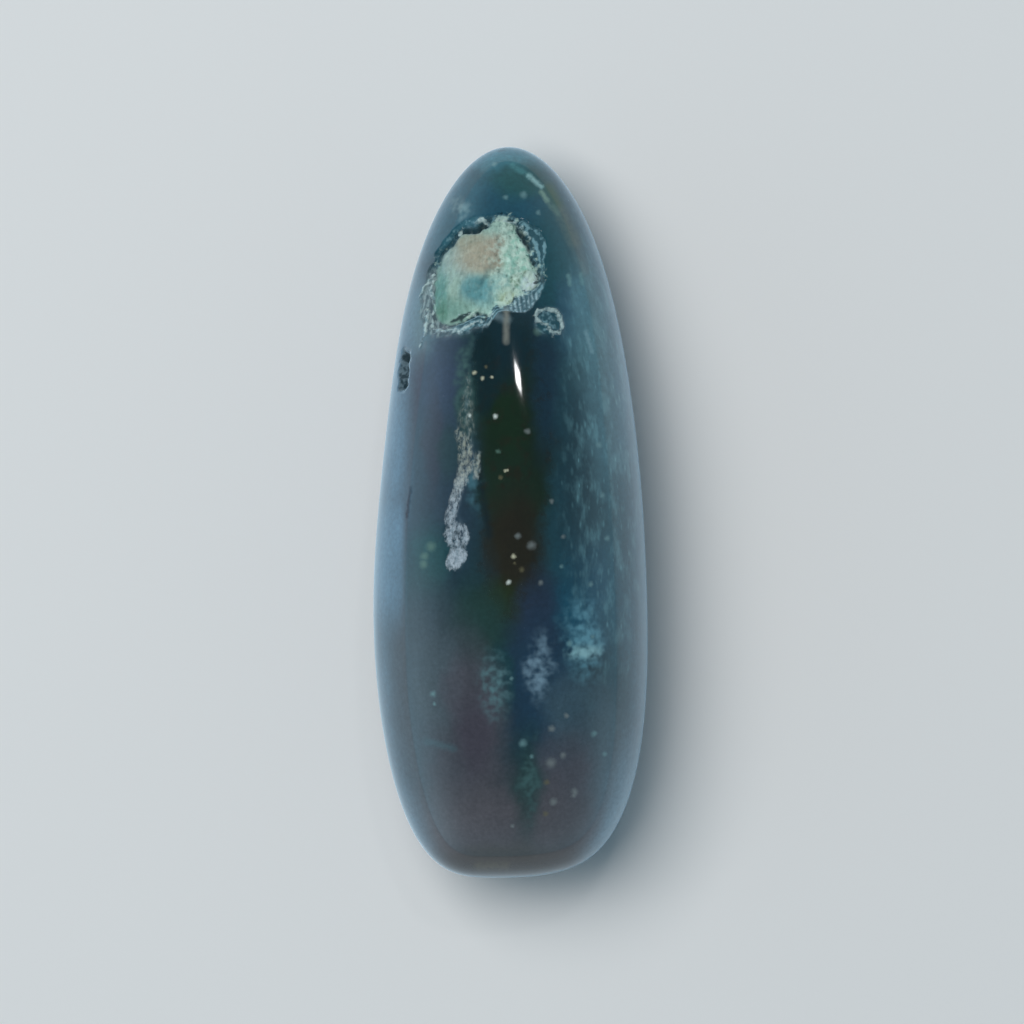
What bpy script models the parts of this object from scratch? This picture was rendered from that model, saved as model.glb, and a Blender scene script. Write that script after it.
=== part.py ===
"""A bloodstone: one tapered pebble of dark green chalcedony, tumbled to a high polish.

Run it with: blender --background --python part.py

The stone lies on its flatter side along Y, with its narrow end at +Y and its domed side up.
The origin is under its middle, on the flat that it rests on.  Units are metres.
"""

import bmesh
import bpy
import numpy as np

MM = 0.001

# The whole stone.
HALF_WIDTH = 8.5 * MM
HALF_LENGTH = 22.5 * MM
CROWN_RISE = 7.2 * MM
BELLY_DEPTH = 5.9 * MM
FLAT_CUT = 0.15 * MM
CROWN = np.array((0.025, -3.07)) * MM
NOSE_DROOP = 0.9 * MM
BELLY_FLATNESS = 0.35

# The outline seen from above, measured from the crown, from the right side round past the narrow end.
OUTLINE = np.array((
    (8.3, 0.0), (7.9, 5.6), (7.3, 11.15), (6.2, 16.4), (4.6, 21.05), (2.5, 24.4),
    (0.05, 25.45), (-2.5, 24.55), (-4.65, 21.4), (-6.25, 16.6), (-7.35, 11.25), (-7.9, 5.6),
    (-8.4, 0.0), (-8.4, -6.0), (-7.6, -11.6), (-6.95, -14.3), (-6.2, -16.4), (-4.1, -18.8),
    (-1.95, -19.4), (-0.05, -19.45), (1.95, -19.3), (4.05, -18.6), (6.3, -16.7), (7.2, -14.9),
    (7.8, -11.9), (8.45, -6.0),
)) * MM
OUTLINE_WAVES = 8

# Long, low swells left by tumbling: wavelength along X, wavelength along Y, height, phase.
SWELLS = (
    (11 * MM, 34 * MM, 0.07 * MM, 0.6),
    (-15 * MM, 19 * MM, 0.06 * MM, 2.1),
    (30 * MM, 13 * MM, 0.04 * MM, 4.0),
)

# The vug: an unpolished hollow near the narrow end.  Its mouth is where the polish breaks off,
# and its floor is the pale crust inside.
VUG_CENTRE = np.array((-1.55, 14.45)) * MM
VUG_MOUTH = np.array((
    (2.15, 14.6), (2.0, 16.6), (1.0, 18.0), (-0.6, 18.35), (-2.2, 18.05), (-3.9, 17.1),
    (-4.8, 15.9), (-5.15, 14.3), (-5.45, 12.6), (-5.05, 11.15), (-3.4, 10.75), (-2.0, 11.05),
    (-0.4, 11.6), (1.1, 12.4), (1.95, 13.3),
)) * MM
VUG_FLOOR = np.array((
    (1.6, 14.45), (1.2, 16.1), (0.35, 17.1), (-0.7, 17.7), (-1.75, 17.2), (-2.9, 16.7),
    (-4.0, 15.8), (-4.6, 14.7), (-4.65, 13.4), (-4.5, 12.0), (-3.7, 11.35), (-2.5, 11.5),
    (-1.1, 12.2), (-0.1, 13.0), (0.9, 13.6),
)) * MM
VUG_WAVES = 5
VUG_DEPTH = 0.62 * MM
VUG_NARROWEST_WALL = 0.3 * MM
WALL_STEPS = 3
STEP_SHARPNESS = 0.75
MOUTH_CHIPS = (0.55 * MM, 0.12 * MM, 3)
# Crevices between wall and crust: the way to the middle of each and the half of its arc in
# degrees, and its depth.
VUG_CREVICES = (
    (118, 30, 0.35 * MM), (44, 14, 0.28 * MM), (5, 20, 0.12 * MM), (-112, 14, 0.25 * MM),
)
CREVICE_OFFSET = 0.1 * MM
CREVICE_WIDTH = 0.16 * MM
CREVICE_FADE = 8
CRUST_SWELL = 0.3 * MM
# Lumps of random height, here and below: the size of a lump, its height and its seed.
CRUST_LUMPS = (1.3 * MM, 0.14 * MM, 11)
CRUST_CRUMBS = (0.6 * MM, 0.07 * MM, 12)

# The knot: a small curled scab of crust right of the vug.
KNOT_CENTRE = np.array((2.3, 11.65)) * MM
KNOT_RADIUS = np.array((0.95, 0.85)) * MM
KNOT_DEPTH = 0.12 * MM
KNOT_EDGE = 0.25 * MM
KNOT_LUMPS = (0.4 * MM, 0.08 * MM, 5)

# The side pit: a narrow, deep pock on the left flank.
PIT_TOP = np.array((-6.3, 9.75)) * MM
PIT_BOTTOM = np.array((-6.6, 7.45)) * MM
PIT_RADIUS = 0.42 * MM
PIT_DEPTH = 0.5 * MM

# The scar: a chalky furrow that runs down from the vug and ends in a wider foot.
# Each station is X, Y and half-width.
SCAR = np.array((
    (-2.9, 7.2, 0.35), (-2.7, 5.1, 0.5), (-2.55, 3.2, 0.6), (-2.9, 1.3, 0.45),
    (-3.25, -0.5, 0.5), (-3.4, -2.1, 0.85), (-3.3, -3.2, 0.6),
)) * MM
SCAR_DEPTH = 0.1 * MM
SCAR_EDGE = 0.3 * MM
SCAR_LUMPS = (0.45 * MM, 0.06 * MM, 7)

# The faceting.  In turn, within this distance of a broken place no edge stays longer than this.
ELLIPSOID = np.array((HALF_WIDTH, HALF_LENGTH, CROWN_RISE))
SPHERE_SUBDIVISIONS = 4
EVERYWHERE = 4 * HALF_LENGTH
FACETING = (
    (EVERYWHERE, 2.0 * MM), (EVERYWHERE, 1.4 * MM), (1.0 * MM, 0.8 * MM), (0.4 * MM, 0.5 * MM),
    (0.1 * MM, 0.34 * MM),
)
RELAXATIONS = 3
SAME_POINT = 0.001 * MM

STONE_COLOUR = (0.022, 0.062, 0.075, 1.0)
STONE_ROUGHNESS = 0.08


def wave_table(angle, count):
    """The cosines and sines of angle, up to this many waves round the circle."""
    orders = np.arange(1, count + 1)
    turns = np.multiply.outer(angle, orders)
    return np.concatenate([np.ones((*angle.shape, 1)), np.cos(turns), np.sin(turns)], axis=-1)


def closed_outline(points, waves):
    """A function of angle: how far a smooth closed line through the points lies from their centre."""
    angle = np.arctan2(points[:, 1], points[:, 0])
    reach = np.hypot(points[:, 0], points[:, 1])
    weights = np.linalg.lstsq(wave_table(angle, waves), reach, rcond=None)[0]
    return lambda at: wave_table(at, waves) @ weights


def smooth_step(value):
    """0 below 0, 1 above 1, and an S between them."""
    t = np.clip(value, 0, 1)
    return t * t * (3 - 2 * t)


def lumps(x, y, size, height, seed):
    """Random heights, up to this height either way, on a square lattice, eased from corner to corner."""
    heights = np.random.default_rng(seed).uniform(-height, height, (64, 64))
    column, row = np.floor(x / size).astype(int), np.floor(y / size).astype(int)
    across, along = smooth_step(x / size - column), smooth_step(y / size - row)
    left, right, near, far = column % 64, (column + 1) % 64, row % 64, (row + 1) % 64
    near_side = heights[left, near] * (1 - across) + heights[right, near] * across
    far_side = heights[left, far] * (1 - across) + heights[right, far] * across
    return near_side * (1 - along) + far_side * along


STONE_REACH = closed_outline(OUTLINE / (HALF_WIDTH, HALF_LENGTH), OUTLINE_WAVES)
MOUTH_REACH = closed_outline(VUG_MOUTH - VUG_CENTRE, VUG_WAVES)
FLOOR_REACH = closed_outline(VUG_FLOOR - VUG_CENTRE, VUG_WAVES)


def polished_stone(direction):
    """The unbroken surface: each unit direction of a sphere, pushed out to the pebble.

    From above, the sphere is scaled to the outline, fully at the girdle and less towards the
    crown.  The upper half is an elliptic dome with low swells.  The lower half leaves the girdle
    at the same slope and flattens out towards its lowest point.
    """
    x, y, z = direction.T
    flat = np.hypot(x, y)
    swell = 1 + (STONE_REACH(np.arctan2(y, x)) - 1) * flat
    across = CROWN[0] + HALF_WIDTH * x * swell
    along = CROWN[1] + HALF_LENGTH * y * swell

    up, down = np.clip(z, 0, 1), np.clip(-z, 0, 1)
    belly = BELLY_DEPTH + FLAT_CUT
    first = CROWN_RISE / belly
    third = BELLY_FLATNESS + first - 2
    second = 1 - first - third
    height = BELLY_DEPTH + CROWN_RISE * up - belly * (first * down + second * down**2 + third * down**3)
    for length_x, length_y, rise, phase in SWELLS:
        height += rise * up * np.sin(2 * np.pi * (across / length_x + along / length_y) + phase)
    height -= NOSE_DROOP * smooth_step(along / HALF_LENGTH) * (1 - down)
    return np.column_stack([across, along, height])


def outward(direction):
    """Roughly the way the polished surface faces."""
    normal = direction / ELLIPSOID
    return normal / np.linalg.norm(normal, axis=1, keepdims=True)


def line_share(x, y, start, end):
    """How far along the line from start to end a point lies, from 0 to 1, and its distance off it."""
    way = end - start
    share = np.clip(((x - start[0]) * way[0] + (y - start[1]) * way[1]) / (way @ way), 0, 1)
    return share, np.hypot(x - start[0] - share * way[0], y - start[1] - share * way[1])


def edge_distances(x, y):
    """How far outside the edge of each broken place a point lies: vug, knot, pit and scar."""
    vug_x, vug_y = x - VUG_CENTRE[0], y - VUG_CENTRE[1]
    vug = np.hypot(vug_x, vug_y) - MOUTH_REACH(np.arctan2(vug_y, vug_x))
    knot_share = np.hypot((x - KNOT_CENTRE[0]) / KNOT_RADIUS[0], (y - KNOT_CENTRE[1]) / KNOT_RADIUS[1])
    knot = (knot_share - 1) * KNOT_RADIUS.mean()
    pit = line_share(x, y, PIT_TOP, PIT_BOTTOM)[1] - PIT_RADIUS
    scar = np.full_like(x, np.inf)
    for start, end in zip(SCAR[:-1], SCAR[1:]):
        share, off = line_share(x, y, start[:2], end[:2])
        scar = np.minimum(scar, off - (start[2] + share * (end[2] - start[2])))
    return vug, knot, pit, scar


def vug_depth(x, y):
    """The vug: a wall that drops in ragged steps from the mouth to a lumpy crust swollen in its middle."""
    off_x, off_y = x - VUG_CENTRE[0], y - VUG_CENTRE[1]
    angle, radius = np.arctan2(off_y, off_x), np.hypot(off_x, off_y)
    mouth = MOUTH_REACH(angle) + lumps(x, y, *MOUTH_CHIPS)
    floor = np.minimum(FLOOR_REACH(angle), mouth - VUG_NARROWEST_WALL)
    down = np.clip((mouth - radius) / (mouth - floor), 0, 1)
    wave = 2 * np.pi * WALL_STEPS
    steps = down - STEP_SHARPNESS * np.sin(wave * down) / wave
    inside = smooth_step(1 - radius / floor)
    crust = CRUST_SWELL * inside
    crust += (lumps(x, y, *CRUST_LUMPS) + lumps(x, y, *CRUST_CRUMBS)) * np.clip(2 * inside, 0, 1)
    depth = VUG_DEPTH * steps - crust
    for middle, half_arc, crevice in VUG_CREVICES:
        turn = np.abs((np.degrees(angle) - middle + 180) % 360 - 180)
        arc = smooth_step((half_arc - turn) / CREVICE_FADE + 0.5)
        across = (radius - floor - CREVICE_OFFSET) / CREVICE_WIDTH
        depth += crevice * arc * np.exp(-(across**2)) * np.clip(4 * down, 0, 1)
    return depth


def broken_depth(x, y):
    """How deep each point of the domed side lies under the polish."""
    _, knot, pit, scar = edge_distances(x, y)
    knot_depth = (KNOT_DEPTH + lumps(x, y, *KNOT_LUMPS)) * smooth_step(-knot / KNOT_EDGE)
    pit_depth = PIT_DEPTH * smooth_step(-pit / PIT_RADIUS)
    scar_depth = (SCAR_DEPTH + lumps(x, y, *SCAR_LUMPS)) * smooth_step(-scar / SCAR_EDGE)
    return vug_depth(x, y) + knot_depth + pit_depth + scar_depth


def directions(points):
    """The unit directions of points on the ellipsoid."""
    scaled = np.asarray(points) / ELLIPSOID
    return scaled / np.linalg.norm(scaled, axis=-1, keepdims=True)


def settle_on_ellipsoid(bm):
    for vertex, direction in zip(bm.verts, directions([vertex.co for vertex in bm.verts])):
        vertex.co = direction * ELLIPSOID


def split_long_edges(bm, margin, longest):
    """Splits the edges within margin of a broken place that are too long, then evens the triangles."""
    middles = directions([(edge.verts[0].co + edge.verts[1].co) / 2 for edge in bm.edges])
    place = polished_stone(middles)
    distance = np.min(edge_distances(place[:, 0], place[:, 1]), axis=0)
    distance[middles[:, 2] < 0] = 2 * HALF_LENGTH  # The underside is unbroken.
    lengths = np.array([edge.calc_length() for edge in bm.edges])
    wanted = (distance < margin) & (lengths > longest)
    long_edges = [edge for edge, is_wanted in zip(bm.edges, wanted) if is_wanted]
    bmesh.ops.subdivide_edges(bm, edges=long_edges, cuts=1)
    bmesh.ops.triangulate(bm, faces=bm.faces[:])
    for _ in range(RELAXATIONS):
        settle_on_ellipsoid(bm)
        bmesh.ops.beautify_fill(bm, faces=bm.faces[:], edges=bm.edges[:], method="ANGLE")
        bmesh.ops.smooth_vert(
            bm, verts=bm.verts[:], factor=0.5, use_axis_x=True, use_axis_y=True, use_axis_z=True
        )
    settle_on_ellipsoid(bm)


def cut_resting_flat(bm):
    """Grinds the belly off level at Z = 0 and closes it with one flat face."""
    everything = bm.verts[:] + bm.edges[:] + bm.faces[:]
    bmesh.ops.bisect_plane(
        bm, geom=everything, dist=SAME_POINT, plane_co=(0, 0, 0), plane_no=(0, 0, 1), clear_inner=True
    )
    rim = [edge for edge in bm.edges if edge.is_boundary]
    bmesh.ops.edgeloop_fill(bm, edges=rim)
    bmesh.ops.triangulate(bm, faces=[face for face in bm.faces if len(face.verts) > 3])
    bmesh.ops.recalc_face_normals(bm, faces=bm.faces[:])


def stone_mesh():
    bm = bmesh.new()
    bmesh.ops.create_icosphere(bm, subdivisions=SPHERE_SUBDIVISIONS, radius=1.0)
    bmesh.ops.scale(bm, verts=bm.verts[:], vec=ELLIPSOID)
    for margin, longest in FACETING:
        split_long_edges(bm, margin, longest)
    direction = directions([vertex.co for vertex in bm.verts])
    surface = polished_stone(direction)
    depth = broken_depth(surface[:, 0], surface[:, 1]) * (direction[:, 2] > 0)
    surface -= outward(direction) * depth[:, None]
    for vertex, place in zip(bm.verts, surface):
        vertex.co = place
    cut_resting_flat(bm)
    mesh = bpy.data.meshes.new("bloodstone")
    bm.to_mesh(mesh)
    bm.free()
    mesh.shade_smooth()
    return mesh


def polished_material():
    material = bpy.data.materials.new("polished_bloodstone")
    material.use_nodes = True
    shader = material.node_tree.nodes["Principled BSDF"]
    shader.inputs["Base Color"].default_value = STONE_COLOUR
    shader.inputs["Roughness"].default_value = STONE_ROUGHNESS
    return material


def main():
    for old in list(bpy.data.objects):
        bpy.data.objects.remove(old)
    mesh = stone_mesh()
    mesh.materials.append(polished_material())
    stone = bpy.data.objects.new("bloodstone", mesh)
    collection = bpy.data.collections.new("bloodstone")
    bpy.context.scene.collection.children.link(collection)
    collection.objects.link(stone)


main()
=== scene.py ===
"""The looks of a polished bloodstone: one tapered pebble, its broken places, its colours and its light.

The stone lies on its flatter side along Y, with its narrow end at +Y.  The shape functions and the
patterns count in millimetres, and the finished mesh is in metres.
"""

from types import SimpleNamespace

import bpy
import numpy as np
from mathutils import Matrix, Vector


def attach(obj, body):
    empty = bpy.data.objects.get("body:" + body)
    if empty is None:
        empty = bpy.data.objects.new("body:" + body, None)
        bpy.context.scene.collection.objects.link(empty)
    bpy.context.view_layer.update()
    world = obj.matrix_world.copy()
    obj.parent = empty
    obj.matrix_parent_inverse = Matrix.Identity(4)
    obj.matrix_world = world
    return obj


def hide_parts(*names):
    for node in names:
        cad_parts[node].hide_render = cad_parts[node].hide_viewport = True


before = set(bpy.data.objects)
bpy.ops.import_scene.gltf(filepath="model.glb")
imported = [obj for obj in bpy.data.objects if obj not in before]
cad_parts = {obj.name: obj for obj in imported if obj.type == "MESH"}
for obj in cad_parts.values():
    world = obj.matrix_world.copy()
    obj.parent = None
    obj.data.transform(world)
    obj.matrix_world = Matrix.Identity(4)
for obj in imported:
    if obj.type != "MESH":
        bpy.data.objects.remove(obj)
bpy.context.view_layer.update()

MM = 0.001
# A lattice of random heights repeats after this many steps.
LATTICE = 64

# ---------------------------------------------------------------------------------------------
# The stone's form, in millimetres.

HALF_WIDTH = 8.5
HALF_LENGTH = 22.5
CROWN_RISE = 7.2
BELLY_DEPTH = 5.9
FLAT_CUT = 0.15
FLAT_EDGE = 0.03
CROWN = (0.025, -3.07)
NOSE_DROOP = 0.9
BELLY_FLATNESS = 0.35
ELLIPSOID = np.array((HALF_WIDTH, HALF_LENGTH, CROWN_RISE))

# The outline seen from above, measured from the crown, from the right side round past the narrow end.
OUTLINE = np.array((
    (8.3, 0.0), (7.9, 5.6), (7.3, 11.15), (6.2, 16.4), (4.6, 21.05), (2.5, 24.4),
    (0.05, 25.45), (-2.5, 24.55), (-4.65, 21.4), (-6.25, 16.6), (-7.35, 11.25), (-7.9, 5.6),
    (-8.4, 0.0), (-8.4, -6.0), (-7.6, -11.6), (-6.95, -14.3), (-6.2, -16.4), (-4.1, -18.8),
    (-1.95, -19.4), (-0.05, -19.45), (1.95, -19.3), (4.05, -18.6), (6.3, -16.7), (7.2, -14.9),
    (7.8, -11.9), (8.45, -6.0),
))
OUTLINE_WAVES = 8

# Long, low swells left by tumbling: wavelength along X, wavelength along Y, height, phase.
SWELLS = ((11, 34, 0.07, 0.6), (-15, 19, 0.06, 2.1), (30, 13, 0.04, 4.0))

# The vug: its mouth is where the polish breaks off, and its floor is the pale crust inside.
VUG_CENTRE = np.array((-1.55, 14.45))
VUG_MOUTH = np.array((
    (2.15, 14.6), (2.15, 15.7), (2.08, 16.75), (1.75, 17.35), (1.33, 17.72), (0.6, 18.0),
    (-0.3, 18.2), (-1.1, 18.2), (-1.8, 18.15), (-2.45, 17.95), (-2.9, 17.77), (-3.3, 17.5),
    (-3.7, 17.2), (-4.05, 16.85), (-4.3, 16.4), (-4.55, 15.85), (-4.8, 15.3), (-5.0, 14.8),
    (-5.2, 14.1), (-5.42, 13.4), (-5.58, 12.8), (-5.6, 12.1), (-5.45, 11.35), (-5.0, 10.85),
    (-4.3, 10.8), (-3.4, 10.8), (-2.8, 10.9), (-2.15, 11.25), (-1.45, 11.3), (-1.0, 11.8),
    (-0.5, 12.15), (0.4, 12.15), (1.3, 12.45), (1.9, 13.4),
))
VUG_FLOOR = np.array((
    (1.68, 15.0), (1.45, 15.5), (1.27, 16.0), (1.08, 16.5), (0.78, 16.95), (0.52, 17.4),
    (0.25, 17.8), (-0.3, 18.0), (-0.9, 18.0), (-1.3, 17.85), (-1.55, 17.6), (-1.9, 17.38),
    (-2.4, 17.25), (-2.8, 17.35), (-3.12, 17.22), (-3.5, 16.8), (-3.78, 16.42), (-4.15, 16.12),
    (-4.6, 15.6), (-4.7, 15.1), (-4.8, 14.5), (-4.85, 13.8), (-4.85, 13.05), (-4.85, 12.35),
    (-4.7, 11.8), (-4.05, 11.6), (-3.3, 11.7), (-2.55, 12.15), (-2.05, 12.3), (-1.2, 12.5),
    (-0.45, 12.85), (0.1, 13.1), (0.9, 13.6), (1.6, 14.0), (1.78, 14.45),
))
VUG_WAVES = 10
VUG_DEPTH = 0.62
VUG_NARROWEST_WALL = 0.24
# The way, in degrees, to the middle of an arc of the vug, the half of the arc and its fade: where
# the vug is shallow, where its wall is dark and has no ledges, and where its wall is fibrous.
SHALLOW_ARC = (145, 80, 50)
DARK_ARC = (128, 42, 26)
FIBRE_ARC = (203, 32, 14)
SHALLOW_SHARE = 0.5
WALL_STEPS = 3
STEP_SHARPNESS = 0.75
# Crevices between wall and crust: the way to the middle of each and the half of its arc in
# degrees, and its depth.
VUG_CREVICES = ((103, 17, 0.35), (138, 18, 0.14), (45, 14, 0.3), (5, 20, 0.12), (-112, 14, 0.15))
CREVICE_OFFSET = 0.1
CREVICE_WIDTH = 0.16
CREVICE_FADE = 8
# A crevice this deep is painted fully black, as painted shadow.
CREVICE_BLACK = 0.25
CRUST_SWELL = 0.3
# Shares of the way down the wall: where the crust's grains fade in, where a crevice reaches its full
# depth and where the dark lip fades out; and of the way to the middle, where the lumps are in full.
GRAINS_FADE = (0.125, 0.375)
CREVICE_FULL = 0.25
DARK_LIP_FADE = (0.7, 0.5)
LUMPS_FULL = 0.5
# How much of the ledges and of the fraying the dark arc lacks, and the fibrous arc of the fraying.
DARK_LEDGE_LOSS = 0.7
DARK_FRAY_LOSS = 0.6
FIBRE_FRAY_LOSS = 0.8
# How wide the markings' edges are at the mouth and at the crust, and how far the crust frays.
MOUTH_EDGE = 0.12
CRUST_EDGE = 0.16
FRAY_REACH = 0.35

# Lumps of random height: the size of a lump, its height and its seed.
MOUTH_CHIPS = (0.55, 0.12, 3)
MOUTH_NICKS = (0.22, 0.06, 4)
FLOOR_NICKS = (0.3, 0.1, 6)
CRUST_LUMPS = (1.3, 0.14, 11)
CRUST_CRUMBS = (0.6, 0.05, 12)
CRUST_GRAINS = (0.3, 0.035, 13)
CRUST_GRIT = (0.16, 0.03, 14)
LEDGE_WANDER = (0.5, 0.14, 16)

# The knot: a small curled scab of crust right of the vug.
KNOT_CENTRE = (2.3, 11.65)
KNOT_RADIUS = (0.95, 0.85)
KNOT_DEPTH = 0.12
KNOT_EDGE = 0.25
KNOT_LUMPS = (0.4, 0.08, 5)

# The side pit: a narrow, deep pock on the left flank, with a hole at its top end.
PIT_TOP = (-6.4, 9.65)
PIT_BOTTOM = (-6.64, 7.75)
PIT_RADIUS = 0.36
PIT_DEPTH = 0.42
PIT_EDGE = 0.12
PIT_HOLE = (-6.5, 9.5)
PIT_HOLE_RADIUS = 0.46
PIT_HOLE_DEPTH = 0.12

# The scar: a chalky furrow that runs down from the vug and ends in a wider foot.
# Each station is X, Y and half-width.
SCAR = np.array((
    (-2.9, 7.2, 0.35), (-2.75, 5.1, 0.45), (-2.6, 3.2, 0.6), (-3.0, 1.6, 0.4),
    (-3.45, 0.2, 0.35), (-3.4, -1.4, 0.8), (-3.3, -3.0, 0.65),
))
SCAR_DEPTH = 0.07
SCAR_EDGE = 0.5
SCAR_LUMPS = (0.45, 0.06, 7)
SCAR_GRAINS = (0.2, 0.03, 15)

# How thick the chalk lies: strokes of X, Y and half-width, and a thickness from 0 to 1 for each.
CHALK_BEDS = (
    (0.22, ((-2.6, 8.4, 0.15), (-2.65, 6.6, 0.42), (-2.75, 5.0, 0.58))),
    (0.72, ((-3.2, 4.8, 0.2), (-2.8, 4.2, 0.4), (-2.7, 2.9, 0.45), (-2.95, 1.9, 0.35))),
    (0.8, ((-2.0, 3.5, 0.15), (-2.1, 2.2, 0.18))),
    (1.2, ((-2.98, 2.2, 0.3), (-3.32, 1.1, 0.25), (-3.72, -0.5, 0.27))),
    (1.25, (
        (-3.85, -1.4, 0.18), (-3.65, -0.95, 0.2), (-3.3, -0.85, 0.2), (-2.9, -1.0, 0.2),
        (-2.7, -1.45, 0.18), (-2.9, -1.85, 0.18), (-3.3, -2.0, 0.18), (-3.7, -1.85, 0.18),
        (-3.85, -1.4, 0.18),
    )),
    (0.8, ((-3.3, -1.2, 0.3), (-3.25, -1.8, 0.3))),
    (1.8, ((-3.5, -3.1, 0.38), (-3.2, -2.6, 0.5))),
)
CHALK_FADE = 0.36

# Raised threads of white crust: each station is X, Y and half-width.
THREADS = (
    (
        (-4.75, 11.15, 0.08), (-4.4, 11.15, 0.11), (-3.9, 11.15, 0.12), (-3.45, 11.18, 0.13),
        (-3.0, 11.1, 0.12), (-2.62, 11.42, 0.11), (-2.3, 11.65, 0.1), (-2.05, 11.75, 0.08),
    ),
    (
        (-1.95, 12.05, 0.05), (-1.85, 11.62, 0.08), (-1.5, 11.42, 0.09), (-1.25, 11.72, 0.07),
        (-1.1, 12.2, 0.05),
    ),
    ((-3.35, 12.15, 0.03), (-2.5, 12.3, 0.05), (-2.2, 12.1, 0.04)),
    ((-4.8, 14.72, 0.03), (-5.12, 14.03, 0.05), (-5.55, 13.27, 0.03)),
    ((-4.85, 14.25, 0.03), (-4.95, 13.6, 0.05), (-4.87, 12.98, 0.05), (-4.82, 12.35, 0.05)),
    ((-5.22, 12.45, 0.06), (-5.2, 11.85, 0.1), (-5.15, 10.9, 0.1)),
    ((-4.98, 12.4, 0.04), (-4.92, 11.75, 0.05), (-4.8, 11.15, 0.06)),
    ((-5.28, 10.68, 0.04), (-5.52, 10.2, 0.06)),
    ((-2.15, 17.76, 0.08), (-1.8, 17.9, 0.15), (-1.45, 17.8, 0.1)),
    ((-3.6, 16.88, 0.02), (-3.25, 17.22, 0.05), (-2.95, 17.48, 0.03)),
    ((-1.0, 18.0, 0.03), (0.0, 17.95, 0.05), (0.75, 17.6, 0.07), (1.3, 16.95, 0.05)),
    (
        (1.5, 12.05, 0.09), (1.66, 12.27, 0.13), (2.22, 12.36, 0.12), (2.82, 12.33, 0.15),
        (2.9, 12.05, 0.13),
    ),
    (
        (2.9, 12.05, 0.13), (3.12, 11.67, 0.13), (3.17, 11.35, 0.13), (2.98, 10.92, 0.12),
        (2.54, 10.82, 0.1),
    ),
    ((1.6, 11.7, 0.14), (1.97, 11.57, 0.11), (2.29, 11.42, 0.11), (2.48, 11.1, 0.1), (2.88, 11.1, 0.1)),
    ((1.5, 12.05, 0.06), (1.6, 11.7, 0.08)),
)
THREAD_RISE = 0.08
THREAD_EDGE = 0.08
THREAD_WANDER = ((0.3, 0.07, 22), (0.3, 0.07, 23))
THREAD_KNOTS = (0.2, 0.05, 24)

# Dark slits in the crust, painted black as shadow: each station is X, Y and half-width.
SLITS = (
    ((-3.9, 11.75, 0.05), (-3.3, 12.0, 0.15), (-2.7, 12.3, 0.06)),
    ((-1.55, 12.2, 0.04), (-1.55, 11.8, 0.09)),
    ((-3.4, -1.2, 0.05), (-3.2, -1.3, 0.08)),
    ((-3.1, -1.75, 0.04), (-2.9, -2.1, 0.08)),
)

# Where the broken places and their markings are: the mesh's attributes.
FIELDS = (
    "crust", "wall", "ledge", "lip", "fibre", "fray", "gap", "knot", "white", "pit", "hole", "chalk",
)

# ---------------------------------------------------------------------------------------------
# The mesh: rings across the stone, columns round it, both packed where the broken places are.

RINGS = 322
COLUMNS = 288
# Where to pack them: from, to and how many times as close.
RING_PACKING = ((10.2, 18.9, 3.6), (-4.2, 10.2, 1.9))
COLUMN_PACKING = ((-80, 33, 2.6),)
PACKING_FADE_MM = 0.8
PACKING_FADE_DEGREES = 5
RING_SAMPLES = 4001
COLUMN_SAMPLES = 3601


def wave_table(angle, count):
    """The cosines and sines of angle, up to this many waves round the circle."""
    orders = np.arange(1, count + 1)
    turns = np.multiply.outer(angle, orders)
    return np.concatenate([np.ones((*angle.shape, 1)), np.cos(turns), np.sin(turns)], axis=-1)


def closed_outline(points, waves):
    """A function of angle: how far a smooth closed line through the points lies from their centre.

    It is a constant plus a few cosines and sines of the angle, fitted to the points by least
    squares.
    """
    angle = np.arctan2(points[:, 1], points[:, 0])
    reach = np.hypot(points[:, 0], points[:, 1])
    weights = np.linalg.lstsq(wave_table(angle, waves), reach, rcond=None)[0]
    return lambda at: wave_table(at, waves) @ weights


def smooth_step(value):
    """0 below 0, 1 above 1, and 3 t^2 - 2 t^3 between them."""
    t = np.clip(value, 0, 1)
    return t * t * (3 - 2 * t)


def eased(value, start, end):
    """0 at start, 1 at end and smooth between them; start may be the larger."""
    return smooth_step((value - start) / (end - start))


def lumps(x, y, size, height, seed):
    """Random heights on a square lattice, eased between its corners, up to height either way."""
    heights = np.random.default_rng(seed).uniform(-height, height, (LATTICE, LATTICE))
    column, row = np.floor(x / size).astype(int), np.floor(y / size).astype(int)
    across, along = smooth_step(x / size - column), smooth_step(y / size - row)
    left, right = column % LATTICE, (column + 1) % LATTICE
    near, far = row % LATTICE, (row + 1) % LATTICE
    near_side = heights[left, near] * (1 - across) + heights[right, near] * across
    far_side = heights[left, far] * (1 - across) + heights[right, far] * across
    return near_side * (1 - along) + far_side * along


STONE_REACH = closed_outline(OUTLINE / (HALF_WIDTH, HALF_LENGTH), OUTLINE_WAVES)
MOUTH_REACH = closed_outline(VUG_MOUTH - VUG_CENTRE, VUG_WAVES)
FLOOR_REACH = closed_outline(VUG_FLOOR - VUG_CENTRE, VUG_WAVES)


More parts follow.
